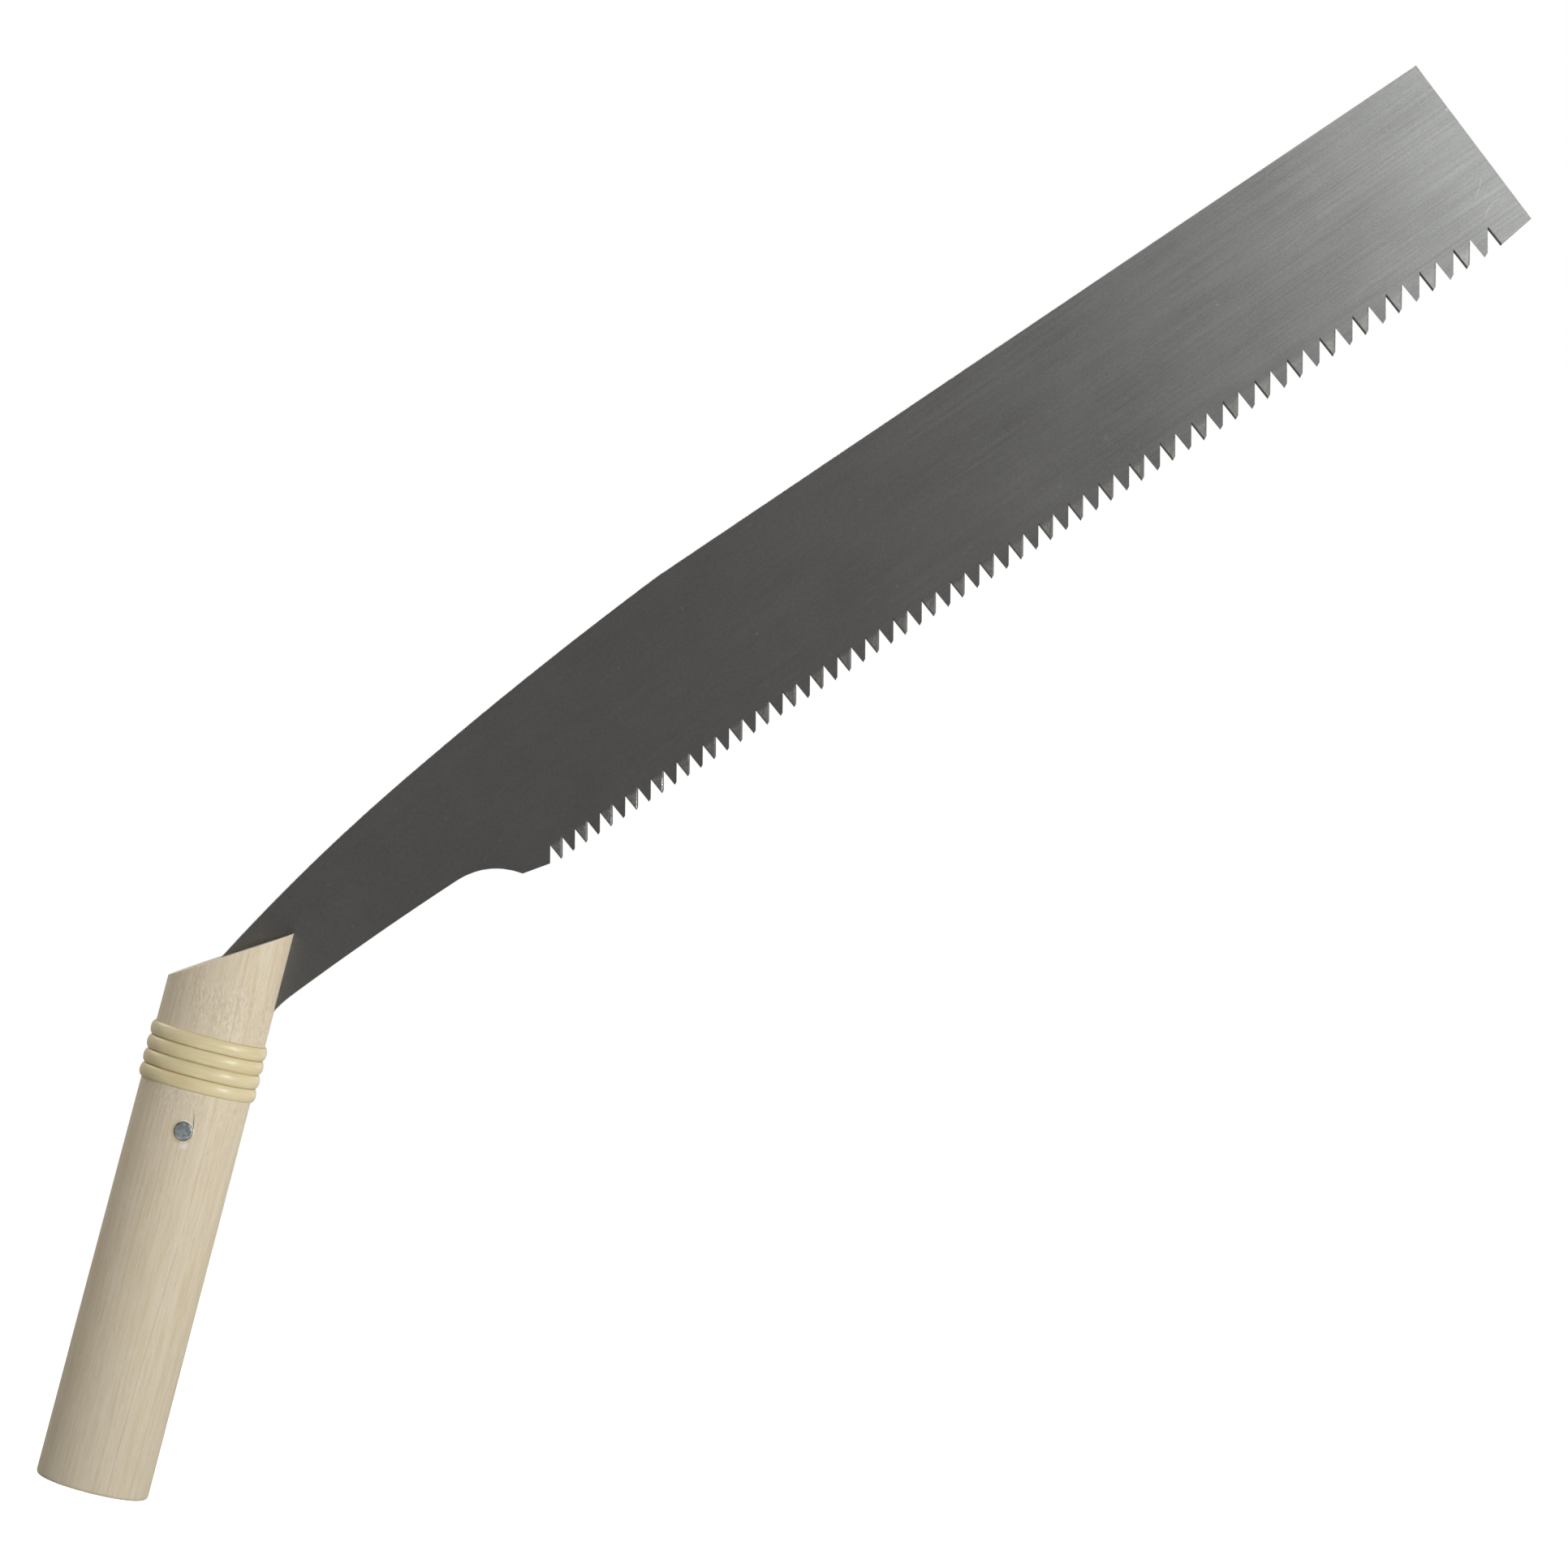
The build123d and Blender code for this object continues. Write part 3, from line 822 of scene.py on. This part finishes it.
white.inputs["Color"].default_value = (1, 1, 1, 1)
pick = t.node("MixShader")
t.feed(pick.inputs[0], t.node("LightPath").outputs["Is Camera Ray"])
t.feed(pick.inputs[1], dim.outputs[0])
t.feed(pick.inputs[2], white.outputs[0])
t.finish(pick.outputs[0], "OutputWorld")


# ---- Lights ----
def soft_light(name, place, target, size, power):
    data = bpy.data.lights.new(name, "AREA")
    data.shape = "DISK"
    data.size = size
    data.energy = power
    light = bpy.data.objects.new(name, data)
    light.location = place
    light.rotation_mode = "QUATERNION"
    light.rotation_quaternion = (Vector(target) - Vector(place)).to_track_quat("-Z", "Y")
    bpy.context.scene.collection.objects.link(light)
    return light


key_power = 15.5
top_power = 9.6
fill_power = 3.75
back_power = 5.0
back_fill_power = 2.5
glint_power = 2.5
soft_light("key_light", (1.09, -1.3, -0.574), centre, 0.32, key_power)
soft_light("top_light", (0.1, 0.5, 1.6), centre, 0.9, top_power)
fill = soft_light("front_fill", (0.1, -1.8, 0.1), centre, 0.8, fill_power)
fill.visible_glossy = False
soft_light("back_key", (1.09, 1.3, -0.574), centre, 1.4, back_power)
back_fill = soft_light("back_fill", (0.3, 1.8, 0.2), centre, 0.9, back_fill_power)
back_fill.visible_glossy = False
glint = soft_light("left_glint", (-0.66, -0.96, -0.56), centre, 0.8, glint_power)
glint.visible_diffuse = False

# ---- Camera: square on to the blade, rolled so that the blade rises to the right ----
camera_distance = 1.32
camera_right = 0.009836         # from the part's middle
camera_below = 0.000879
lens_length = 101.2
camera_data = bpy.data.cameras.new("camera")
camera_data.sensor_width = 36.0
camera_data.lens = lens_length
camera_data.clip_start = 0.05
camera = bpy.data.objects.new("camera", camera_data)
turn = Matrix((view_right, view_up, (0, -1, 0))).transposed()
camera_place = Vector((centre.x + camera_right, -camera_distance, centre.z - camera_below))
camera.matrix_world = Matrix.Translation(camera_place) @ turn.to_4x4()
bpy.context.scene.collection.objects.link(camera)
bpy.context.scene.camera = camera
bpy.context.scene.view_settings.view_transform = "Standard"
